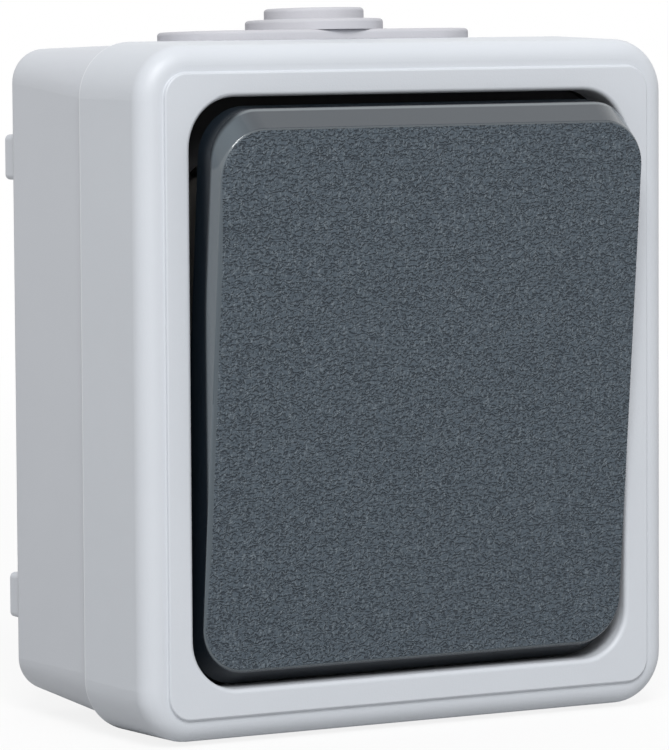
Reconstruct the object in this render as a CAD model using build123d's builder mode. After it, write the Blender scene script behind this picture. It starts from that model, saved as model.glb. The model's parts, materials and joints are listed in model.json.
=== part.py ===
from build123d import *
import os
from math import cos, radians, sin, tan

# Surface mounted damp-proof rocker switch, in millimetres.
# X points right, Y points into the wall and Z points up.
# The wall plane is Y = 0, and every height below is a distance in front of that wall.

# Housing sizes
body_width = 66.0
body_height = 74.4
body_corner = 6.0
foot_height = 1.6
base_depth = 19.0
cover_depth = 14.4
seam_step = 0.35
base_draft = 1.8
bottom_draft = 4.8
bottom_step = 0.5
rear_corner = 3.6
cover_draft = 1.1
base_wall = 2.2
cover_wall = 2.0
rear_edge_round = 1.4
seam_edge_round = 0.3

# Front frame sizes
frame_rise = 0.4
frame_band_side = 2.97
frame_band_top = 3.15
frame_band_bottom = 2.82
frame_corner = 2.6
frame_step_round = 0.2
frame_foot_round = 0.18
frame_edge_round = 2.15
front_wall = 2.3
opening_side = 5.9
opening_end = 5.75
opening_corner = 5.4
opening_edge_round = 0.5
collar_wall = 1.4
collar_depth = 2.2

# Rear feet and wall fixing holes
foot_inset = 12.85
foot_side_inset = 0.3
foot_length = 5.0
foot_width = 4.6
foot_corner = 0.6
foot_root = 1.8
wall_screw_inset = 9.2
wall_screw_hole = 4.5
wall_boss_diameter = 9.5
wall_boss_height = 1.6

# Bottom knock-out and drain mark
knockout_diameter = 15.0
knockout_groove = 1.0
knockout_depth = 0.7
drain_diameter = 3.0
drain_offset = 13.0

# Gasket between base and cover
spigot_gap = 0.3
spigot_wall = 1.4
spigot_rise = 2.3
spigot_root = 2.5
seal_thickness = 1.2
seal_shoulder = 1.2
seal_margin = 0.3

# Cable gland in the top wall
gland_width = 37.3
gland_depth = 14.2
gland_plate = 1.45
gland_end_round = 6.8
gland_lip_corner = 3.0
gland_slot_width = 21.0
gland_slot_depth = 12.6
gland_slot_corner = 2.0
gland_clearance = 0.1
gland_lip_width = 25.0
gland_lip_depth = 11.6
gland_lip = 1.3
gland_tier_diameter = 15.35
gland_tier = 1.2
gland_cap_diameter = 11.1
gland_cap = 1.25
gland_round = 0.4
gland_bore_diameter = 9.0
gland_skin = 0.8

# Rocker sizes, measured from its pivot
rocker_gap_side = 0.9
rocker_gap_end = 0.6
rocker_corner = 5.2
rocker_tilt = 5.4
pivot_setback = 4.6
rocker_face_rise = 7.35
rocker_skirt = 5.2
crown_drop = 2.55
crown_end_inset = 1.8
crown_side_inset = 0.1
crown_corner = 5.2
crown_edge_round = 0.25
rocker_wall = 1.6
rocker_face_wall = 1.6
clip_width = 10.0
clip_thickness = 1.5
clip_gap = 0.15
clip_barb = 0.9
clip_barb_height = 1.2

# Rocker carrier, its plunger and spring
carrier_width = 21.6
carrier_height = 26.0
carrier_thickness = 2.0
carrier_corner = 1.5
cheek_thickness = 1.5
cheek_radius = 2.4
pin_diameter = 3.0
pin_fit = 0.05
pin_end = 0.8
stem_diameter = 6.4
stem_reach = 4.65
stem_wall_end = 1.2
plunger_diameter = 3.4
plunger_fit = 0.1
plunger_length = 8.0
plunger_reach = 7.3
plunger_round = 1.5
spring_wire = 0.45
spring_turns = 4
spring_seat_gap = 0.02

# Support plate with its bearing ears
plate_margin = 3.72
plate_end_inset = 12.0
plate_corner = 3.0
plate_thickness = 1.2
plate_setback = 7.5
ear_gap = 0.6
ear_radius = 2.45
ear_foot_width = 9.0
stem_window_width = 9.0
stem_window_height = 12.0

# Membrane between the cover's collar and the support plate
membrane_thickness = 0.8
membrane_foot = 0.9
membrane_rim = 1.0
membrane_side = 0.7
membrane_end = 0.8
membrane_corner = 3.0

# Switch insert
insert_post_gap = 0.38
insert_height = 36.0
insert_depth = 16.3
insert_corner = 1.5
insert_wall = 1.4
tray_depth = 7.95
lid_thickness = 1.6
lid_fit = 0.1
lid_window_width = 8.0
lid_window_height = 11.0
rib_thickness = 1.2
rib_left_end = 4.6
rib_right_end = 10.1
rib_right_drop = 6.0
lug_width = 6.0
lug_thickness = 1.2
lug_rise = 0.6
lug_fit = 0.1

# Contacts and terminals
strip_width = 4.5
strip_thickness = 0.8
strip_end = 1.4
contact_offset = 8.0
contact_diameter = 3.2
contact_height = 0.8
contact_gap = 0.2
bridge_length = 20.0
bridge_width = 5.6
bridge_thickness = 1.0
bridge_corner = 1.0
bridge_tip_diameter = 3.0
bridge_tip = 0.9
bridge_clearance = 0.1
fulcrum_thickness = 0.8
terminal_inset = 4.5
clamp_width = 6.0
clamp_height = 6.4
clamp_depth = 8.8
clamp_wall = 1.2
clamp_thread_wall = 2.4
clamp_play = 0.3
wire_space = 3.0
wire_hole = 3.4

# Screws
cover_screw_side = 11.5
cover_screw_end = 8.5
cover_screw_thread = 3.5
cover_screw_length = 14.0
cover_head_diameter = 6.0
cover_head_height = 2.0
cover_ledge = 2.0
ledge_margin = 4.2
ledge_corner = 4.5
cover_post_diameter = 6.8
insert_screw_share = 0.66
insert_screw_thread = 3.0
insert_screw_length = 9.0
insert_head_diameter = 5.6
insert_head_height = 1.8
insert_post_diameter = 5.8
terminal_screw_thread = 2.9
terminal_head_diameter = 5.0
terminal_head_height = 1.8
terminal_head_gap = 0.3
terminal_access = 5.8
thread_fit = 0.05
screw_hole_play = 0.3
head_round = 0.6
slot_width = 0.9
slot_depth = 0.8

# Widths, heights and pitches that follow the body's
opening_width = body_width - 2 * opening_side
opening_height = body_height - 2 * opening_end
rocker_width = opening_width - 2 * rocker_gap_side
rocker_height = opening_height - 2 * rocker_gap_end
foot_pitch = body_height - 2 * foot_inset
wall_screw_pitch = body_height - 2 * wall_screw_inset
cover_screw_x = body_width / 2 - cover_screw_side
cover_screw_z = body_height / 2 - cover_screw_end
insert_screw_pitch = body_width * insert_screw_share
insert_width = insert_screw_pitch - insert_post_diameter - 2 * insert_post_gap
plate_width = insert_screw_pitch + 2 * plate_margin
plate_height = body_height - 2 * plate_end_inset
terminal_offset = insert_width / 2 - terminal_inset

# Heights in front of the wall
base_rear = foot_height
seam = base_rear + base_depth
front = seam + cover_depth
outer_band = front - frame_rise
front_inside = front - front_wall
collar_end = front_inside - collar_depth
base_floor = base_rear + base_wall
spigot_top = seam + spigot_rise
seal_top = spigot_top + seal_thickness
pivot = front - pivot_setback
plate_front = front - plate_setback
plate_rear = plate_front - plate_thickness
membrane_rear = plate_front + membrane_foot
membrane_front = membrane_rear + membrane_thickness
insert_rear = plate_rear - insert_depth
tray_floor = plate_rear - tray_depth
lid_rear = plate_rear - lid_thickness
strip_top = tray_floor + strip_thickness
clamp_rear = tray_floor - wire_space - clamp_wall
clamp_front = clamp_rear + clamp_depth
ledge_front = seal_top + cover_ledge

# Outline of the base at its seam, and the insets of the ring that seals it
base_width = body_width - 2 * seam_step
base_height = body_height - 2 * seam_step
base_corner = body_corner - seam_step
base_slope = tan(radians(base_draft))
bottom_slope = tan(radians(bottom_draft))
rear_inset = base_depth * base_slope
spigot_inset = cover_wall + spigot_gap
spigot_inside = spigot_inset + spigot_wall

# Heights along the rocker's own axis, from its pivot
rocker_rear = rocker_face_rise - rocker_skirt
crown_base = rocker_face_rise - crown_drop
carrier_front = rocker_face_rise - rocker_face_wall
carrier_rear = carrier_front - carrier_thickness
clip_top = carrier_rear - clip_gap
clip_end = clip_top - clip_barb_height
plunger_rear = plunger_length - plunger_reach
bore_end = carrier_front - stem_wall_end

# Planes of the tilted rocker and of its vertical middle, at rest with the upper end out
tilt = radians(rocker_tilt)
rocker_plane = Plane(
    origin=(0, -pivot, 0),
    x_dir=(1, 0, 0),
    z_dir=(0, -cos(tilt), -sin(tilt)),
)
rocker_side = Plane(
    origin=(0, -pivot, 0),
    x_dir=(0, -sin(tilt), cos(tilt)),
    z_dir=(1, 0, 0),
)

# Plane of the contact bridge, tilted the other way about its fulcrum
bridge_lift = contact_offset * sin(tilt)
bridge_axis = strip_top + contact_height + contact_gap + bridge_tip + bridge_lift
bridge_plane = Plane(
    origin=(0, -bridge_axis, 0),
    x_dir=(1, 0, 0),
    z_dir=(0, -cos(tilt), sin(tilt)),
)

# Plane of the sloping top wall, with its origin at the seam and its y towards the wall
gland_plane = Plane(
    origin=(0, -seam, base_height / 2),
    x_dir=(1, 0, 0),
    z_dir=(0, sin(radians(base_draft)), cos(radians(base_draft))),
)
gland_axis = gland_clearance + gland_depth / 2
gland_neck = base_wall + gland_clearance
lip_axis = spigot_root + gland_clearance + gland_lip_depth / 2

# Plane of the sloping bottom wall, with its origin at the seam and its y away from the wall
bottom_plane = Plane(
    origin=(0, -seam, bottom_step - base_height / 2),
    x_dir=(1, 0, 0),
    z_dir=(0, sin(radians(bottom_draft)), -cos(radians(bottom_draft))),
)

# Places of screws and terminals, as X and Z
cover_screws = [(cover_screw_x, cover_screw_z), (-cover_screw_x, -cover_screw_z)]
insert_screws = [(-insert_screw_pitch / 2, 0), (insert_screw_pitch / 2, 0)]
wall_screws = [(0, wall_screw_pitch / 2), (0, -wall_screw_pitch / 2)]
throw_terminals = [(-terminal_offset, contact_offset), (-terminal_offset, -contact_offset)]
common_place = (terminal_offset, contact_offset)
terminals = throw_terminals + [common_place]


def ring_outline(inset):
    """Width, height and corner radius of a rounded outline inset from the cover's."""
    corner = body_corner - min(inset, body_corner / 2)
    return body_width - 2 * inset, body_height - 2 * inset, corner


def bottom_lift(height):
    """How much higher than its top is low the base's bottom stands, at a height above the wall."""
    return bottom_step + (seam - height) * (bottom_slope - base_slope)


def base_outline(height, inset):
    """The same three sizes for the tapered base, which is centred half a bottom lift up."""
    shrink = (seam - height) * base_slope + inset
    corner = base_corner - (base_corner - rear_corner) * (seam - height) / base_depth
    corner = corner - min(inset, corner / 2)
    return base_width - 2 * shrink, base_height - 2 * shrink - bottom_lift(height), corner


os.makedirs("parts", exist_ok=True)

# Base box: a moulded tapered tray with feet, posts, a gland slot and wall screw holes
foot_x = base_width / 2 - rear_inset - foot_side_inset - foot_width / 2
with BuildPart() as base_box:
    with BuildSketch(Plane.XZ.offset(base_rear)):
        with Locations((0, bottom_lift(base_rear) / 2)):
            RectangleRounded(*base_outline(base_rear, 0))
    with BuildSketch(Plane.XZ.offset(seam)):
        with Locations((0, bottom_lift(seam) / 2)):
            RectangleRounded(*base_outline(seam, 0))
    loft()
    fillet(base_box.faces().sort_by(Axis.Y)[-1].edges(), radius=rear_edge_round)
    with BuildSketch(Plane.XZ.offset(base_floor)):
        with Locations((0, bottom_lift(base_floor) / 2)):
            RectangleRounded(*base_outline(base_floor, base_wall))
    with BuildSketch(Plane.XZ.offset(seam)):
        with Locations((0, bottom_lift(seam) / 2)):
            RectangleRounded(*base_outline(seam, base_wall))
    loft(mode=Mode.SUBTRACT)
    with BuildSketch(Plane.XZ.offset(seam - spigot_root)):
        RectangleRounded(*ring_outline(spigot_inset))
        RectangleRounded(*ring_outline(spigot_inside), mode=Mode.SUBTRACT)
    extrude(amount=spigot_root + spigot_rise)
    with BuildSketch(Plane.XZ):
        with GridLocations(2 * foot_x, foot_pitch, 2, 2):
            RectangleRounded(foot_width, foot_length, foot_corner)
        with Locations(*wall_screws):
            Circle(wall_boss_diameter / 2)
    extrude(amount=foot_height + foot_root)
    with BuildSketch(Plane.XZ.offset(base_floor)):
        with Locations(*wall_screws):
            Circle(wall_boss_diameter / 2)
    extrude(amount=wall_boss_height)
    with BuildSketch(Plane.XZ.offset(base_floor)):
        with Locations(*cover_screws):
            Circle(cover_post_diameter / 2)
    extrude(amount=seal_top - base_floor)
    with BuildSketch(Plane.XZ.offset(base_floor)):
        with Locations(*insert_screws):
            Circle(insert_post_diameter / 2)
    extrude(amount=plate_rear - base_floor)
    with BuildSketch(Plane.XZ.offset(ledge_front - cover_screw_length)):
        with Locations(*cover_screws):
            Circle(cover_screw_thread / 2 + thread_fit)
    extrude(amount=cover_screw_length, mode=Mode.SUBTRACT)
    with BuildSketch(Plane.XZ.offset(plate_front - insert_screw_length)):
        with Locations(*insert_screws):
            Circle(insert_screw_thread / 2 + thread_fit)
    extrude(amount=insert_screw_length, mode=Mode.SUBTRACT)
    with BuildSketch(Plane.XZ):
        with Locations(*wall_screws):
            Circle(wall_screw_hole / 2)
    extrude(amount=seam, mode=Mode.SUBTRACT)
    with BuildSketch(gland_plane):
        with Locations((0, gland_slot_depth / 2 - gland_slot_corner)):
            RectangleRounded(
                gland_slot_width,
                gland_slot_depth + 2 * gland_slot_corner,
                gland_slot_corner,
            )
        with Locations((0, -spigot_rise)):
            Rectangle(gland_slot_width, 2 * spigot_rise)
    extrude(amount=2 * base_wall, both=True, mode=Mode.SUBTRACT)
    with BuildSketch(bottom_plane):
        with Locations((0, -base_depth / 2)):
            Circle(knockout_diameter / 2)
            Circle(knockout_diameter / 2 - knockout_groove, mode=Mode.SUBTRACT)
        with Locations((-drain_offset, -base_depth / 2)):
            Circle(drain_diameter / 2)
    extrude(amount=-knockout_depth, mode=Mode.SUBTRACT)
base_box.part.label = "base_box"
export_step(base_box.part, "parts/base_box.step")

# Cable gland: a soft moulded plate with a stepped closed cap and a lip behind the wall
with BuildPart() as cable_gland:
    with BuildSketch(gland_plane):
        with Locations((0, gland_axis)):
            RectangleRounded(gland_width, gland_depth, gland_end_round)
    extrude(amount=gland_plate)
    fillet(cable_gland.faces().sort_by(Axis.Z)[-1].edges(), radius=gland_round)
    with BuildSketch(gland_plane.offset(gland_plate)):
        with Locations((0, gland_axis)):
            Circle(gland_tier_diameter / 2)
    extrude(amount=gland_tier)
    fillet(cable_gland.faces().sort_by(Axis.Z)[-1].edges(), radius=gland_round)
    with BuildSketch(gland_plane.offset(gland_plate + gland_tier)):
        with Locations((0, gland_axis)):
            Circle(gland_cap_diameter / 2)
    extrude(amount=gland_cap)
    fillet(cable_gland.faces().sort_by(Axis.Z)[-1].edges(), radius=gland_round)
    with BuildSketch(gland_plane):
        with Locations((0, gland_slot_depth / 2)):
            RectangleRounded(
                gland_slot_width - 2 * gland_clearance,
                gland_slot_depth - 2 * gland_clearance,
                gland_slot_corner,
            )
    extrude(amount=-gland_neck)
    with BuildSketch(gland_plane.offset(-gland_neck)):
        with Locations((0, lip_axis)):
            RectangleRounded(gland_lip_width, gland_lip_depth, gland_lip_corner)
    extrude(amount=-gland_lip)
    with BuildSketch(gland_plane.offset(gland_plate + gland_tier + gland_cap - gland_skin)):
        with Locations((0, gland_axis)):
            Circle(gland_bore_diameter / 2)
    extrude(
        amount=-(gland_plate + gland_tier + gland_cap - gland_skin + gland_neck + gland_lip),
        mode=Mode.SUBTRACT,
    )
cable_gland.part.label = "cable_gland"
export_step(cable_gland.part, "parts/cable_gland.step")

# Cover seal: a rubber ring that lies on the base's spigot
with BuildPart() as cover_seal:
    with BuildSketch(Plane.XZ.offset(spigot_top)):
        RectangleRounded(*ring_outline(spigot_inset))
        RectangleRounded(*ring_outline(spigot_inside), mode=Mode.SUBTRACT)
    extrude(amount=seal_thickness)
cover_seal.part.label = "cover_seal"
export_step(cover_seal.part, "parts/cover_seal.step")

# Cover frame: a moulded lid with a raised inner band, a collar and two screw ledges
ledge_width = (body_width - cover_wall) / 2 - cover_screw_x + ledge_margin
ledge_height = (body_height - cover_wall) / 2 - cover_screw_z + ledge_margin
ledge_x = (body_width - cover_wall) / 2 - ledge_width / 2
ledge_z = (body_height - cover_wall) / 2 - ledge_height / 2
with BuildPart() as cover_frame:
    with BuildSketch(Plane.XZ.offset(seam)):
        RectangleRounded(body_width, body_height, body_corner)
    extrude(amount=outer_band - seam, taper=cover_draft)
    fillet(cover_frame.faces().sort_by(Axis.Y)[0].edges(), radius=frame_edge_round)
    fillet(cover_frame.faces().sort_by(Axis.Y)[-1].edges(), radius=seam_edge_round)
    with BuildSketch(Plane.XZ.offset(outer_band - frame_rise)):
        with Locations((0, (frame_band_bottom - frame_band_top) / 2)):
            RectangleRounded(
                body_width - 2 * frame_band_side,
                body_height - frame_band_top - frame_band_bottom,
                frame_corner,
            )
    extrude(amount=2 * frame_rise)
    fillet(
        cover_frame.faces().filter_by(Axis.Y).sort_by(Axis.Y)[1].inner_wires()[0].edges(),
        radius=frame_foot_round,
    )
    fillet(cover_frame.faces().sort_by(Axis.Y)[0].edges(), radius=frame_step_round)
    with BuildSketch(Plane.XZ.offset(seam)):
        RectangleRounded(*ring_outline(cover_wall))
    extrude(amount=front_inside - seam, mode=Mode.SUBTRACT)
    with BuildSketch(Plane.XZ.offset(collar_end)):
        RectangleRounded(
            opening_width + 2 * collar_wall,
            opening_height + 2 * collar_wall,
            opening_corner + collar_wall,
        )
    extrude(amount=collar_depth)
    with BuildSketch(Plane.XZ.offset(seal_top)):
        RectangleRounded(*ring_outline(cover_wall - seal_margin))
        RectangleRounded(*ring_outline(spigot_inside + seal_margin), mode=Mode.SUBTRACT)
    extrude(amount=seal_shoulder)
    with BuildSketch(Plane.XZ.offset(seal_top)):
        with Locations((ledge_x, ledge_z), (-ledge_x, -ledge_z)):
            RectangleRounded(ledge_width, ledge_height, ledge_corner)
        with Locations(*cover_screws):
            Circle((cover_screw_thread + screw_hole_play) / 2, mode=Mode.SUBTRACT)
    extrude(amount=cover_ledge)
    with BuildSketch(Plane.XZ.offset(collar_end)):
        RectangleRounded(opening_width, opening_height, opening_corner)
    extrude(amount=front_wall + collar_depth, mode=Mode.SUBTRACT)
    fillet(
        cover_frame.faces().sort_by(Axis.Y)[0].inner_wires()[0].edges(),
        radius=opening_edge_round,
    )
cover_frame.part.label = "cover_frame"
export_step(cover_frame.part, "parts/cover_frame.step")

# Support plate: folded sheet steel with two ears that carry the rocker's pins
with BuildPart() as support_plate:
    with BuildSketch(Plane.XZ.offset(plate_rear)):
        RectangleRounded(plate_width, plate_height, plate_corner)
        Rectangle(stem_window_width, stem_window_height, mode=Mode.SUBTRACT)
        with Locations(*insert_screws):
            Circle((insert_screw_thread + screw_hole_play) / 2, mode=Mode.SUBTRACT)
        with Locations(*terminals):
            Circle(terminal_access / 2, mode=Mode.SUBTRACT)
        with GridLocations(0, insert_height - insert_wall, 1, 2):
            Rectangle(
                lug_width + 2 * lug_fit,
                lug_thickness + 2 * lug_fit,
                mode=Mode.SUBTRACT,
            )
    extrude(amount=plate_thickness)
    for side in (-1, 1):
        with BuildSketch(Plane.YZ.offset(side * (carrier_width / 2 + ear_gap))):
            with Locations((-pivot, 0)):
                Circle(ear_radius)
            Polygon(
                (-plate_rear, -ear_foot_width / 2),
                (-plate_rear, ear_foot_width / 2),
                (-pivot, ear_radius),
                (-pivot, -ear_radius),
                align=None,
            )
            with Locations((-pivot, 0)):
                Circle(pin_diameter / 2 + pin_fit, mode=Mode.SUBTRACT)
        extrude(amount=side * plate_thickness)
support_plate.part.label = "support_plate"
export_step(support_plate.part, "parts/support_plate.step")

# Membrane: a soft rubber mat behind the cover's collar, with a foot round its window
window_width = plate_width - 2 * membrane_side
window_height = plate_height - 2 * membrane_end
with BuildPart() as membrane:
    with BuildSketch(Plane.XZ.offset(membrane_rear)):
        RectangleRounded(
            opening_width + 2 * collar_wall,
            opening_height + 2 * collar_wall,
            opening_corner + collar_wall,
        )
    extrude(amount=collar_end - membrane_rear)
    with BuildSketch(Plane.XZ.offset(membrane_front)):
        RectangleRounded(opening_width, opening_height, opening_corner)
    extrude(amount=collar_end - membrane_front, mode=Mode.SUBTRACT)
    with BuildSketch(Plane.XZ.offset(plate_front)):
        RectangleRounded(
            window_width + 2 * membrane_rim,
            window_height + 2 * membrane_rim,
            membrane_corner + membrane_rim,
        )
    extrude(amount=membrane_foot)
    with BuildSketch(Plane.XZ.offset(plate_front)):
        RectangleRounded(window_width, window_height, membrane_corner)
    extrude(amount=membrane_foot + membrane_thickness, mode=Mode.SUBTRACT)
membrane.part.label = "membrane"
export_step(membrane.part, "parts/membrane.step")

# Insert body: a moulded block with a front tray, clamp pockets, ribs and two snap lugs
clamp_pocket = clamp_rear - clamp_play
tray_width = insert_width - 2 * insert_wall
tray_height = insert_height - 2 * insert_wall
rib_left_reach = tray_width / 2 - rib_left_end
rib_right_reach = tray_width / 2 - rib_right_end
with BuildPart() as insert_body:
    with BuildSketch(Plane.XZ.offset(insert_rear)):
        RectangleRounded(insert_width, insert_height, insert_corner)
    extrude(amount=insert_depth)
    with BuildSketch(Plane.XZ.offset(tray_floor)):
        Rectangle(tray_width, tray_height)
    extrude(amount=tray_depth, mode=Mode.SUBTRACT)
    with BuildSketch(Plane.XZ.offset(clamp_pocket)):
        with Locations(*terminals):
            Rectangle(clamp_width + 2 * clamp_play, clamp_height + 2 * clamp_play)
    extrude(amount=tray_floor - clamp_pocket, mode=Mode.SUBTRACT)
    with BuildSketch(Plane.XZ.offset(tray_floor)):
        with Locations((-(tray_width - rib_left_reach) / 2, 0)):
            Rectangle(rib_left_reach, rib_thickness)
        with Locations(((tray_width - rib_right_reach) / 2, -rib_right_drop)):
            Rectangle(rib_right_reach, rib_thickness)
    extrude(amount=lid_rear - tray_floor)
    with BuildSketch(Plane.XZ.offset(plate_rear - insert_wall)):
        with GridLocations(0, insert_height - insert_wall, 1, 2):
            Rectangle(lug_width, lug_thickness)
    extrude(amount=insert_wall + plate_thickness + lug_rise)
    for place_x, place_z in terminals:
        side = 1 if place_x > 0 else -1
        with BuildSketch(Plane.YZ.offset(side * insert_width / 2)):
            with Locations((-(tray_floor - wire_space / 2), place_z)):
                Circle(wire_hole / 2)
        extrude(amount=-side * (insert_width / 2 - terminal_offset), mode=Mode.SUBTRACT)
insert_body.part.label = "insert_body"
export_step(insert_body.part, "parts/insert_body.step")

# Insert lid: closes the tray in front of the contacts
with BuildPart() as insert_lid:
    with BuildSketch(Plane.XZ.offset(lid_rear)):
        Rectangle(tray_width - 2 * lid_fit, tray_height - 2 * lid_fit)
        Rectangle(lid_window_width, lid_window_height, mode=Mode.SUBTRACT)
        with Locations(*terminals):
            Circle(terminal_access / 2, mode=Mode.SUBTRACT)
    extrude(amount=lid_thickness)
insert_lid.part.label = "insert_lid"
export_step(insert_lid.part, "parts/insert_lid.step")

# Throw contacts: flat brass strips with a riveted contact, one above and one below
strip_reach = terminal_offset + strip_end
strip_knee = (terminal_offset - clamp_width / 2 - clamp_play + strip_width / 2) / 2
throw_length = strip_reach + strip_width / 2
for name, place_z in (("upper", contact_offset), ("lower", -contact_offset)):
    with BuildPart() as throw_contact:
        with BuildSketch(Plane.XZ.offset(tray_floor)):
            with Locations((throw_length / 2 - strip_reach, place_z)):
                Rectangle(throw_length, strip_width)
        extrude(amount=strip_thickness)
        with BuildSketch(Plane.XZ.offset(strip_top)):
            with Locations((0, place_z)):
                Circle(contact_diameter / 2)
        extrude(amount=contact_height)
    throw_contact.part.label = f"throw_contact_{name}"
    export_step(throw_contact.part, f"parts/throw_contact_{name}.step")

# Common terminal: a cranked brass strip with the round-nosed blade that the bridge rocks on
with BuildPart() as common_terminal:
    with BuildSketch(Plane.XZ.offset(tray_floor)):
        with Locations((strip_knee / 2, 0)):
            Rectangle(strip_knee + strip_width, strip_width)
        with Locations((strip_knee, contact_offset / 2)):
            Rectangle(strip_width, contact_offset + strip_width)
        with Locations(((strip_knee - strip_width / 2 + strip_reach) / 2, contact_offset)):
            Rectangle(strip_reach - strip_knee + strip_width / 2, strip_width)
    extrude(amount=strip_thickness)
    with BuildSketch(Plane.XZ.offset(strip_top)):
        Rectangle(strip_width, fulcrum_thickness)
    extrude(amount=bridge_axis - strip_top)
    with BuildSketch(Plane.YZ):
        with Locations((-bridge_axis, 0)):
            Circle(fulcrum_thickness / 2)
    extrude(amount=strip_width / 2, both=True)
common_terminal.part.label = "common_terminal"
export_step(common_terminal.part, "parts/common_terminal.step")

# Contact bridge: the rocking brass strip with a contact at each end and a groove for the blade
with BuildPart() as contact_bridge:
    with BuildSketch(bridge_plane.offset(bridge_clearance)):
        RectangleRounded(bridge_width, bridge_length, bridge_corner)
    extrude(amount=bridge_thickness)
    with BuildSketch(bridge_plane.offset(bridge_clearance)):
        with GridLocations(0, 2 * contact_offset, 1, 2):
            Circle(bridge_tip_diameter / 2)
    extrude(amount=-bridge_tip)
    with BuildSketch(Plane.YZ):
        with Locations((-bridge_axis, 0)):
            Circle(fulcrum_thickness / 2 + bridge_clearance)
    extrude(amount=bridge_width, both=True, mode=Mode.SUBTRACT)
contact_bridge.part.label = "contact_bridge"
export_step(contact_bridge.part, "parts/contact_bridge.step")

# Terminal clamps with their screws: a brass cage round the end of each strip
for name, place in zip(("upper", "lower", "common"), terminals):
    with BuildPart() as clamp:
        with BuildSketch(Plane.XZ.offset(clamp_rear)):
            with Locations(place):
                Rectangle(clamp_width, clamp_height)
        extrude(amount=clamp_depth)
        with BuildSketch(Plane.XZ.offset(clamp_rear + clamp_wall)):
            with Locations(place):
                Rectangle(clamp_width, clamp_height - 2 * (clamp_wall - clamp_play))
        extrude(amount=clamp_depth - clamp_wall - clamp_thread_wall, mode=Mode.SUBTRACT)
        with BuildSketch(Plane.XZ.offset(clamp_front - clamp_thread_wall)):
            with Locations(place):
                Circle(terminal_screw_thread / 2 + thread_fit)
        extrude(amount=clamp_thread_wall, mode=Mode.SUBTRACT)
    clamp.part.label = f"clamp_{name}"
    export_step(clamp.part, f"parts/clamp_{name}.step")

# Screws: pan heads with a straight slot, as name, place, seat height and sizes
terminal_seat = clamp_front + terminal_head_gap
terminal_length = terminal_seat - strip_top - thread_fit
cover_kind = (ledge_front, cover_screw_length, cover_screw_thread, cover_head_diameter, cover_head_height)
insert_kind = (
    plate_front,
    insert_screw_length,
    insert_screw_thread,
    insert_head_diameter,
    insert_head_height,
)
terminal_kind = (
    terminal_seat,
    terminal_length,
    terminal_screw_thread,
    terminal_head_diameter,
    terminal_head_height,
)
screws = [
    ("cover_screw_upper", cover_screws[0], cover_kind),
    ("cover_screw_lower", cover_screws[1], cover_kind),
    ("insert_screw_left", insert_screws[0], insert_kind),
    ("insert_screw_right", insert_screws[1], insert_kind),
    ("terminal_screw_upper", terminals[0], terminal_kind),
    ("terminal_screw_lower", terminals[1], terminal_kind),
    ("terminal_screw_common", terminals[2], terminal_kind),
]
for name, place, (seat, length, thread, head_diameter, head_height) in screws:
    with BuildPart() as screw:
        with BuildSketch(Plane.XZ.offset(seat)):
            with Locations(place):
                Circle(head_diameter / 2)
        extrude(amount=head_height)
        fillet(screw.faces().sort_by(Axis.Y)[0].edges(), radius=head_round)
        with BuildSketch(Plane.XZ.offset(seat - length)):
            with Locations(place):
                Circle(thread / 2)
        extrude(amount=length)
        with BuildSketch(Plane.XZ.offset(seat + head_height - slot_depth)):
            with Locations(place):
                Rectangle(head_diameter, slot_width)
        extrude(amount=slot_depth, mode=Mode.SUBTRACT)
    screw.part.label = name
    export_step(screw.part, f"parts/{name}.step")

# Rocker carrier: a moulded yoke with two pins and a hollow stem for the plunger
with BuildPart() as rocker_carrier:
    with BuildSketch(rocker_plane.offset(carrier_rear)):
        RectangleRounded(carrier_width, carrier_height, carrier_corner)
    extrude(amount=carrier_thickness)
    for side in (-1, 1):
        with BuildSketch(rocker_side.offset(side * carrier_width / 2)):
            Circle(cheek_radius)
            with Locations((0, carrier_rear / 2)):
                Rectangle(2 * cheek_radius, carrier_rear)
        extrude(amount=-side * cheek_thickness)
        with BuildSketch(rocker_side.offset(side * carrier_width / 2)):
            Circle(pin_diameter / 2)
        extrude(amount=side * (ear_gap + plate_thickness + pin_end))
    with BuildSketch(rocker_plane.offset(-stem_reach)):
        Circle(stem_diameter / 2)
    extrude(amount=stem_reach + carrier_rear)
    with BuildSketch(rocker_plane.offset(-stem_reach)):
        Circle(plunger_diameter / 2 + plunger_fit)
    extrude(amount=stem_reach + bore_end, mode=Mode.SUBTRACT)
rocker_carrier.part.label = "rocker_carrier"
export_step(rocker_carrier.part, "parts/rocker_carrier.step")

# Plunger: a round-nosed pin that slides in the stem and tips the bridge
with BuildPart() as plunger:
    with BuildSketch(rocker_plane.offset(-plunger_reach)):
        Circle(plunger_diameter / 2)
    extrude(amount=plunger_length)
    fillet(plunger.faces().sort_by(Axis.Y)[-1].edges(), radius=plunger_round)
plunger.part.label = "plunger"
export_step(plunger.part, "parts/plunger.step")

# Plunger spring: a steel coil between the plunger and the end of the stem's bore
coil_start = plunger_rear + spring_wire / 2 + spring_seat_gap
coil_height = bore_end - plunger_rear - spring_wire - 2 * spring_seat_gap
coil_radius = (plunger_diameter - spring_wire) / 2
with BuildPart() as plunger_spring:
    with BuildLine() as coil:
        Helix(
            pitch=coil_height / spring_turns,
            height=coil_height,
            radius=coil_radius,
            center=rocker_plane.offset(coil_start).origin,
            direction=rocker_plane.z_dir,
        )
    with BuildSketch(Plane(origin=coil.line @ 0, z_dir=coil.line % 0)):
        Circle(spring_wire / 2)
    sweep(is_frenet=True)
plunger_spring.part.label = "plunger_spring"
export_step(plunger_spring.part, "parts/plunger_spring.step")

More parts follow.
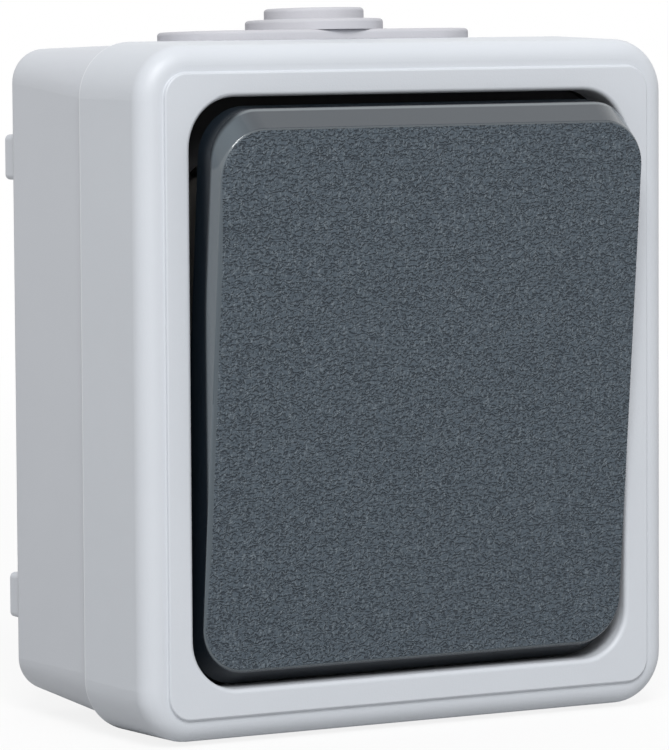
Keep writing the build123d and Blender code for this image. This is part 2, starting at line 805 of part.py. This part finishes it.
# Rocker: a moulded cap with a stepped crown, a skirt and two clips round the carrier
clip_u = carrier_height / 2 + clip_gap
with BuildPart() as rocker:
    with BuildSketch(rocker_plane.offset(rocker_rear)):
        RectangleRounded(rocker_width, rocker_height, rocker_corner)
    extrude(amount=crown_base - rocker_rear)
    with BuildSketch(rocker_plane.offset(crown_base)):
        RectangleRounded(rocker_width, rocker_height, rocker_corner)
    with BuildSketch(rocker_plane.offset(rocker_face_rise)):
        RectangleRounded(
            rocker_width - 2 * crown_side_inset,
            rocker_height - 2 * crown_end_inset,
            crown_corner,
        )
    loft()
    fillet(
        rocker.faces().sort_by(Axis((0, 0, 0), rocker_plane.z_dir))[-1].edges(),
        radius=crown_edge_round,
    )
    with BuildSketch(rocker_plane.offset(rocker_rear)):
        RectangleRounded(
            rocker_width - 2 * rocker_wall,
            rocker_height - 2 * rocker_wall,
            rocker_corner - rocker_wall,
        )
    extrude(amount=carrier_front - rocker_rear, mode=Mode.SUBTRACT)
    with BuildSketch(rocker_plane.offset(clip_end)):
        with GridLocations(0, 2 * clip_u + clip_thickness, 1, 2):
            Rectangle(clip_width, clip_thickness)
    extrude(amount=carrier_front - clip_end)
    with BuildSketch(rocker_plane.offset(clip_end)):
        with GridLocations(0, 2 * clip_u - clip_barb, 1, 2):
            Rectangle(clip_width, clip_barb)
    extrude(amount=clip_barb_height)
rocker.part.label = "rocker"
export_step(rocker.part, "parts/rocker.step")
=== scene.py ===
import json
from math import cos, pi, radians, sin

import bpy
from mathutils import Matrix, Vector


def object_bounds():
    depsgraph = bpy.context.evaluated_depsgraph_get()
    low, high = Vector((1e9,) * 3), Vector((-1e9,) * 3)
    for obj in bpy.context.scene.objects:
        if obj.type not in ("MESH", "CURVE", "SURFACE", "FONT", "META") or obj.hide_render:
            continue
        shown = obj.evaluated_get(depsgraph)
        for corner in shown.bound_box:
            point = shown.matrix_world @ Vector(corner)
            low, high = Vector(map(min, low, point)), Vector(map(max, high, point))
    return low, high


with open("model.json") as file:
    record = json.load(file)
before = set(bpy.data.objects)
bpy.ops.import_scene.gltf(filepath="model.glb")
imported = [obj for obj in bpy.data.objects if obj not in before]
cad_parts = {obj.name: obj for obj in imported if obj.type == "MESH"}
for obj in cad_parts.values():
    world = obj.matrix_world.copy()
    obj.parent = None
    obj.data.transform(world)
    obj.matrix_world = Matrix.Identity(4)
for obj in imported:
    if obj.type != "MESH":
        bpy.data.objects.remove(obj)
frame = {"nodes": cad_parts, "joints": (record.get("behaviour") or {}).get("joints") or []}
cad_box = [list(corner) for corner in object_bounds()]
nodes = frame["nodes"]

# Wall box and cover: two shells moulded in the same light grey plastic, with a satin surface.
# The box is screwed to the wall and the cover is screwed on the box's posts, under the rocker.
# Their faces carry a very fine spark-eroded grain and a faint cloudiness from moulding.
mm = 0.001


class Reading:
    """One output of a node. Arithmetic on readings and numbers adds Math nodes."""

    def __init__(self, recipe, socket):
        self.recipe, self.socket = recipe, socket

    def beside(self, output):
        """Another output of the same node."""
        return Reading(self.recipe, self.socket.node.outputs[output])

    def math(self, operation, first, second=0.0):
        return self.recipe.add("ShaderNodeMath", {"operation": operation}, {0: first, 1: second})

    def __add__(self, other):
        return self.math("ADD", self, other)

    def __sub__(self, other):
        return self.math("SUBTRACT", self, other)

    def __rsub__(self, other):
        return self.math("SUBTRACT", other, self)

    def __mul__(self, other):
        return self.math("MULTIPLY", self, other)

    def __pow__(self, other):
        return self.math("POWER", self, other)

    def __abs__(self):
        return self.math("ABSOLUTE", self)

    def over(self, floor):
        """The reading, or the floor where it is less."""
        return self.math("MAXIMUM", self, floor)

    __radd__, __rmul__ = __add__, __mul__


class Recipe:
    """The node tree of a material or of the world."""

    def __init__(self, owner):
        owner.use_nodes = True
        self.tree = owner.node_tree

    def add(self, kind, settings, sockets, output=0):
        """Adds a node with its settings, then its socket values or links, and reads one output."""
        node = self.tree.nodes.new(kind)
        for name, value in settings.items():
            setattr(node, name, value)
        for name, value in sockets.items():
            if isinstance(value, Reading):
                self.tree.links.new(value.socket, node.inputs[name])
            else:
                node.inputs[name].default_value = value
        return Reading(self, node.outputs[output])

    def link(self, reading, node, socket):
        """Links a reading to a socket of a node that the tree already has."""
        self.tree.links.new(reading.socket, self.tree.nodes[node].inputs[socket])

    def between(self, share, low, high):
        """A reading that goes from low to high as share goes from 0 to 1."""
        return share * (high - low) + low

    def ramp(self, reading, start, stop, low=0.0, high=1.0):
        """Smooth change from low to high while the reading goes from start to stop."""
        limits = {"From Min": start, "From Max": stop, "To Min": low, "To Max": high}
        settings = {"interpolation_type": "SMOOTHSTEP"}
        return self.add("ShaderNodeMapRange", settings, {"Value": reading, **limits})

    def background_rays(self):
        """Readings that are 1 for the rays from the camera, off gloss and through glass."""
        camera_ray = self.add("ShaderNodeLightPath", {}, {}, "Is Camera Ray")
        return camera_ray, camera_ray.beside("Is Glossy Ray"), camera_ray.beside("Is Transmission Ray")


class Finish(Recipe):
    """A material whose patterns are worked out from the piece's own coordinates, in metres."""

    def __init__(self, name, **constants):
        self.material = bpy.data.materials.new(name)
        super().__init__(self.material)
        self.shader = self.tree.nodes["Principled BSDF"]
        for socket, value in constants.items():
            self.shader.inputs[socket.replace("_", " ")].default_value = value
        self.place = self.add("ShaderNodeTexCoord", {}, {}, "Object")

    def axes(self):
        """The place along X, Y and Z."""
        x = self.add("ShaderNodeSeparateXYZ", {}, {"Vector": self.place}, "X")
        return x, x.beside("Y"), x.beside("Z")

    def stretched(self, scale):
        """The place, scaled along X, Y and Z."""
        return self.add("ShaderNodeMapping", {}, {"Vector": self.place, "Scale": scale})

    def noise(self, per_metre, detail=2.0, place=None):
        sockets = {"Vector": place or self.place, "Scale": per_metre, "Detail": detail}
        return self.add("ShaderNodeTexNoise", {}, sockets)

    def mix(self, share, first, second):
        """A colour between two others."""
        sockets = {0: share, 6: first, 7: second}
        return self.add("ShaderNodeMix", {"data_type": "RGBA"}, sockets, 2)

    def bump(self, height, depth, under=None):
        """A normal tipped by a height reading, where depth is in metres."""
        sockets = {"Height": height, "Distance": depth}
        if under:
            sockets["Normal"] = under
        return self.add("ShaderNodeBump", {}, sockets)

    def wear(self, **readings):
        """Links readings to the shader's sockets and returns the material."""
        for socket, reading in readings.items():
            self.link(reading, "Principled BSDF", socket.replace("_", " "))
        return self.material


def dress(name, material):
    """Gives a CAD node its finish."""
    mesh = nodes[name].data
    mesh.materials.clear()
    mesh.materials.append(material)


rim_depth = 20.7 * mm
rim_highlight_colour = (0.86, 0.88, 0.92, 1)


def moulded_grey(name, deep, pale, rim_highlight_share):
    """Satin grey plastic: cloudy colour at 15 mm, grain at 0.15 mm and slight waves at 4 mm.

    The last argument is how far a painted highlight 0.4 mm wide round the cover's rim is brightened, 0
    to 1.
    """
    finish = Finish(name, Specular_IOR_Level=0.45)
    cloud = finish.noise(per_metre=65)
    grain = finish.noise(per_metre=6500, detail=3.0)
    waves = finish.noise(per_metre=240, detail=1.0)
    inward = finish.axes()[1]
    # Painted highlight: a thin pale band round the cover's rim, where its rounded edge would catch
    # light.
    rim_highlight = finish.ramp(abs(inward + rim_depth), 0.2 * mm, 0.4 * mm, rim_highlight_share, 0.0)
    wavy = finish.bump(waves, depth=0.03 * mm)
    return finish.wear(
        Base_Color=finish.mix(rim_highlight, finish.mix(cloud, deep, pale), rim_highlight_colour),
        Roughness=finish.between(grain, low=0.36, high=0.5),
        Normal=finish.bump(grain, depth=0.012 * mm, under=wavy),
    )


cover_grey = moulded_grey("cover_grey", (0.6, 0.63, 0.675, 1), (0.63, 0.66, 0.705, 1), rim_highlight_share=0.6)
box_grey = moulded_grey("box_grey", (0.585, 0.61, 0.655, 1), (0.615, 0.64, 0.685, 1), rim_highlight_share=0.0)
dress("base_box", box_grey)
dress("cover_frame", cover_grey)

# Cable gland: a soft stepped cap in pale lilac-grey rubber, pushed into a slot of the top wall.
# It is closed until an installer cuts it, and its surface is matt with a powdery bloom.
gland = Finish("gland_rubber", Specular_IOR_Level=0.3)
lilac_deep, lilac_pale = (0.51, 0.51, 0.545, 1), (0.57, 0.57, 0.605, 1)
bloom = gland.noise(per_metre=180, detail=4.0)
pores = gland.noise(per_metre=5200)
gland_rubber = gland.wear(
    Base_Color=gland.mix(bloom, lilac_deep, lilac_pale),
    Roughness=gland.between(bloom, low=0.62, high=0.78),
    Normal=gland.bump(pores, depth=0.02 * mm),
)
dress("cable_gland", gland_rubber)

# Cover seal and membrane: a black rubber ring pressed between the box and the cover, and a soft black
# mat behind the cover's collar that keeps damp out of the insert and, as a dark sheet, also stands for
# the shade inside the box.
seal = Finish("seal_rubber", Specular_IOR_Level=0.3)
rubber_black, rubber_dusty = (0.02, 0.02, 0.022, 1), (0.045, 0.045, 0.048, 1)
seal_dust = seal.noise(per_metre=900, detail=3.0)
seal_rubber = seal.wear(
    Base_Color=seal.mix(seal_dust, rubber_black, rubber_dusty),
    Roughness=seal.between(seal_dust, low=0.6, high=0.8),
    Normal=seal.bump(seal_dust, depth=0.03 * mm),
)
dress("cover_seal", seal_rubber)
dress("membrane", seal_rubber)

# Support plate, screws and spring: zinc plated steel, with the faint streaks of rolled sheet
# running up it and a patchy shine from the plating.
zinc = Finish("zinc_steel", Metallic=1.0)
zinc_dull, zinc_bright = (0.5, 0.48, 0.44, 1), (0.64, 0.63, 0.6, 1)
rolled = zinc.stretched((1.0, 1.0, 0.03))
streaks = zinc.noise(per_metre=9000, detail=3.0, place=rolled)
spangle = zinc.noise(per_metre=400)
zinc_steel = zinc.wear(
    Base_Color=zinc.mix(spangle, zinc_dull, zinc_bright),
    Roughness=zinc.between(streaks, low=0.3, high=0.5),
    Normal=zinc.bump(streaks, depth=0.008 * mm),
)
for name in (
    "support_plate",
    "plunger_spring",
    "insert_screw_left",
    "insert_screw_right",
    "cover_screw_upper",
    "cover_screw_lower",
    "terminal_screw_upper",
    "terminal_screw_lower",
    "terminal_screw_common",
):
    dress(name, zinc_steel)

# Contact insert: a pale moulded thermoset block with its lid, the rocker's yoke and the plunger.
# The block is dull from its mineral filler, with tiny darker specks.
thermoset = Finish("pale_thermoset", Specular_IOR_Level=0.4)
filler_dark, filler_pale = (0.6, 0.58, 0.52, 1), (0.76, 0.74, 0.68, 1)
specks = thermoset.noise(per_metre=3200)
filler = thermoset.noise(per_metre=110, detail=3.0)
mottle = filler * 0.7 + specks * 0.3
pale_thermoset = thermoset.wear(
    Base_Color=thermoset.mix(mottle, filler_dark, filler_pale),
    Roughness=thermoset.between(specks, low=0.5, high=0.65),
    Normal=thermoset.bump(specks, depth=0.01 * mm),
)
for name in ("insert_body", "insert_lid", "rocker_carrier", "plunger"):
    dress(name, pale_thermoset)

# Contacts and clamps: stamped brass, patchily tarnished, with the fine ripple that shearing
# and bending leave on the strip.
brass = Finish("stamped_brass", Metallic=1.0)
brass_tarnished, brass_bright = (0.6, 0.42, 0.18, 1), (0.78, 0.6, 0.3, 1)
tarnish = brass.noise(per_metre=500, detail=3.0)
ripple = brass.noise(per_metre=12000)
stamped_brass = brass.wear(
    Base_Color=brass.mix(tarnish, brass_tarnished, brass_bright),
    Roughness=brass.between(tarnish, low=0.28, high=0.45),
    Normal=brass.bump(ripple, depth=0.006 * mm),
)
for name in (
    "throw_contact_upper",
    "throw_contact_lower",
    "common_terminal",
    "contact_bridge",
    "clamp_upper",
    "clamp_lower",
    "clamp_common",
):
    dress(name, stamped_brass)

# Rocker: a large cap in dark slate-grey plastic, clipped over the yoke and tilted at rest.
# Its crown is polished, with painted light on its sides and painted shade on its ends, and its skirt
# is painted near black as shade. Its face has a leather grain of short wavy furrows with paler tips
# between them: painted shade darkens the furrows and painted highlights lighten the tips.
hinge = next(joint for joint in frame["joints"] if joint["name"] == "rocker_tilt")
rocker_pivot = -hinge["pos_m"][1]
rocker_tilt = radians(-hinge["range_deg"][0] / 2)
face_half_x, face_half_u, face_corner = 26.2 * mm, 29 * mm, 5.2 * mm
slate_deep, slate_pale = (0.072, 0.093, 0.114, 1), (0.079, 0.101, 0.123, 1)
# Painted light: the tip, crown side and edge colours. Painted shade: the furrow, crown end and skirt
# colours.
tip_highlight_colour, furrow_shade_colour = (0.15, 0.18, 0.205, 1), (0.02, 0.027, 0.037, 1)
crown_ends_shaded, crown_sides_lit = (0.028, 0.038, 0.049, 1), (0.08, 0.102, 0.12, 1)
edge_highlight_colour, skirt_shade_colour = (0.2, 0.225, 0.24, 1), (0.006, 0.01, 0.015, 1)
slate = Finish("rocker_slate", Specular_IOR_Level=0.25, Coat_Roughness=0.1)

# The rocker's own places: along runs up the tilted face from its middle, outward runs out of it
# from the pivot, and past is the distance outside the face's rounded outline.
across, inward, up = slate.axes()
beyond_pivot = inward + rocker_pivot
along = up * cos(rocker_tilt) - beyond_pivot * sin(rocker_tilt)
outward = beyond_pivot * -cos(rocker_tilt) - up * sin(rocker_tilt)
past_x = abs(across) - (face_half_x - face_corner)
past_u = abs(along) - (face_half_u - face_corner)
past = (past_x.over(0) ** 2 + past_u.over(0) ** 2) ** 0.5 - face_corner

# The grain stops just inside the face's outline, and sooner beside the middle of its left edge.
left_edge = slate.ramp(across, -24.5 * mm, -25.6 * mm)
left_margin = slate.ramp(abs(along), 14 * mm, 26 * mm, 0.5 * mm, 0.1 * mm)
margin = left_edge * left_margin + 0.08 * mm
grained = slate.ramp(past + margin, -0.12 * mm, 0.0, 1.0, 0.0)

# Painted shade: the skirt and whatever sinks into the cover are painted near black, and the crown and
# the face are told from it by how far out they stand. Two thin painted highlights follow the crease
# round the face and the ledge at the crown's foot.
face = slate.ramp(outward, 7 * mm, 7.22 * mm)
sides = slate.ramp(abs(across), 21.5 * mm, 24.5 * mm)
above_foot = slate.ramp(outward - sides * (0.6 * mm), 4.3 * mm, 4.9 * mm)
out_of_cover = slate.ramp(inward, -36.8 * mm, -36.2 * mm, 1.0, 0.0)
out_of_painted_shade = (out_of_cover * above_foot).over(face)
crease = slate.ramp(abs(past + 0.04 * mm), 0.05 * mm, 0.12 * mm, 1.0, 0.0)
ledge = slate.ramp(abs(outward - 5 * mm), 0.08 * mm, 0.2 * mm, 1.0, 0.0)
# Painted highlights: pale bands along the crease and the ledge.
edge_highlights = (crease * 0.35).over(ledge * slate.between(sides, low=0.6, high=0.15))

# The furrows are the troughs of distorted bands, broken up by noise. The tips are a noise that is
# drawn out upwards.
bands = slate.add(
    "ShaderNodeTexWave",
    {"wave_type": "BANDS", "bands_direction": "Z", "wave_profile": "SIN"},
    {"Vector": slate.place, "Scale": 690, "Distortion": 11.0, "Detail": 1.0, "Detail Scale": 2.2},
    "Fac",
)
unbroken = slate.ramp(slate.noise(per_metre=2700, detail=1.0), 0.38, 0.6)
furrows = slate.ramp(bands, 0.0, 0.8, 1.0, 0.0) * unbroken * grained
upright = slate.stretched((2.2, 1.0, 0.7))
tips = slate.ramp(slate.noise(per_metre=2700, detail=1.0, place=upright), 0.5, 0.7) * grained
leather = tips * 0.5 + bands * grained * 0.6 - furrows

cloud = slate.noise(per_metre=90)
# Painted highlights: the drawn-out tips are painted paler.
tip_highlighted = slate.mix(tips * 0.8, slate.mix(cloud, slate_deep, slate_pale), tip_highlight_colour)
# Painted shade: the furrows are painted darker.
furrow_shaded = slate.mix(furrows * 0.72, tip_highlighted, furrow_shade_colour)
# Painted light and shade: the crown's sides are painted paler and its ends darker.
polished_crown_lit_and_shaded = slate.mix(sides, crown_ends_shaded, crown_sides_lit)
colour_out_of_shade = slate.mix(edge_highlights, slate.mix(grained, polished_crown_lit_and_shaded, furrow_shaded), edge_highlight_colour)
rocker_slate = slate.wear(
    Base_Color=slate.mix(out_of_painted_shade, skirt_shade_colour, colour_out_of_shade),
    Roughness=slate.between(grained, low=0.2, high=0.42),
    Coat_Weight=(1.0 - grained) * out_of_painted_shade * 0.6,
    Normal=slate.bump(leather, depth=0.08 * mm),
)
dress("rocker", rocker_slate)

# Floor: a plain pale sheet just under the part. It shows near white, keeps the part's shadow, and
# shows in gloss and glass only away from the part, where it isn't in that shadow.
floor_half, floor_gap = 3.0, 0.2 * mm
floor_level = cad_box[0][2] - floor_gap
floor_corners = [(-1, -1), (1, -1), (1, 1), (-1, 1)]
floor_places = [(x * floor_half, y * floor_half, floor_level) for x, y in floor_corners]
floor_mesh = bpy.data.meshes.new("floor")
floor_mesh.from_pydata(floor_places, [], [(0, 1, 2, 3)])
floor = bpy.data.objects.new("floor", floor_mesh)
bpy.context.scene.collection.objects.link(floor)

pale = Finish("pale_floor", Roughness=0.9)
floor_grey, floor_white = (0.55, 0.55, 0.55, 1), (0.9, 0.9, 0.9, 1)
camera_ray, glossy_ray, glass_ray = pale.background_rays()
away = pale.add("ShaderNodeVectorMath", {"operation": "LENGTH"}, {0: pale.place}, "Value")
far = pale.ramp(away, 0.12, 0.5)
glow_share = (camera_ray * (far * 0.15 + 0.85)).over(glossy_ray.over(glass_ray) * far)
glow = pale.add("ShaderNodeEmission", {}, {"Color": (1, 1, 1, 1), "Strength": 1.0})
lit = Reading(pale, pale.shader.outputs[0])
shown = pale.add("ShaderNodeMixShader", {}, {0: glow_share, 1: lit, 2: glow})
pale.link(shown, "Material Output", "Surface")
pale_floor = pale.wear(Base_Color=pale.mix(camera_ray, floor_grey, floor_white))
floor_mesh.materials.append(pale_floor)

# Studio light: a white room that the camera and reflections see, with a softer glow on the part,
# a lamp from the upper left and front, and a broad weak one from above.
glow_on_part, glow_seen = 0.34, 1.0
world = bpy.data.worlds.new("studio")
bpy.context.scene.world = world
room = Recipe(world)
camera_ray, glossy_ray, glass_ray = room.background_rays()
seen = camera_ray.over(glossy_ray).over(glass_ray)
room.link(room.between(seen, glow_on_part, glow_seen), "Background", "Strength")
room.tree.nodes["Background"].inputs["Color"].default_value = (1, 1, 1, 1)

for name, place, width, power in (
    ("key_lamp", (-0.36, -0.72, 0.72), 0.45, 9.4),
    ("top_lamp", (0.45, 0.2, 0.85), 1.2, 1.9),
):
    lamp = bpy.data.lights.new(name, "AREA")
    lamp.size = width
    lamp.energy = power
    lamp_object = bpy.data.objects.new(name, lamp)
    lamp_object.location = place
    lamp_object.rotation_euler = Vector(place).to_track_quat("Z", "Y").to_euler()
    bpy.context.scene.collection.objects.link(lamp_object)

# Camera: to the part's left and a little above it, with a long lens, as the photograph shows it.
# Its place, turns and focal length were fitted to the part's outlines.
photo_height = 750
focal_pixels = 4902.05
camera_place = (-0.267266, -0.489857, 0.04375)
yaw, pitch, roll = radians(-29.503), radians(4.617), radians(-0.340)
camera = bpy.data.cameras.new("camera")
camera.sensor_width = 36.0
camera.lens = focal_pixels / photo_height * camera.sensor_width
camera.clip_start, camera.clip_end = 0.01, 50.0
level = Matrix.Rotation(pi / 2 - pitch, 4, "X")
turn = Matrix.Rotation(yaw, 4, "Z") @ level @ Matrix.Rotation(roll, 4, "Z")
camera_object = bpy.data.objects.new("camera", camera)
camera_object.matrix_world = Matrix.Translation(camera_place) @ turn
bpy.context.scene.collection.objects.link(camera_object)
bpy.context.scene.camera = camera_object
bpy.context.scene.view_settings.view_transform = "Standard"
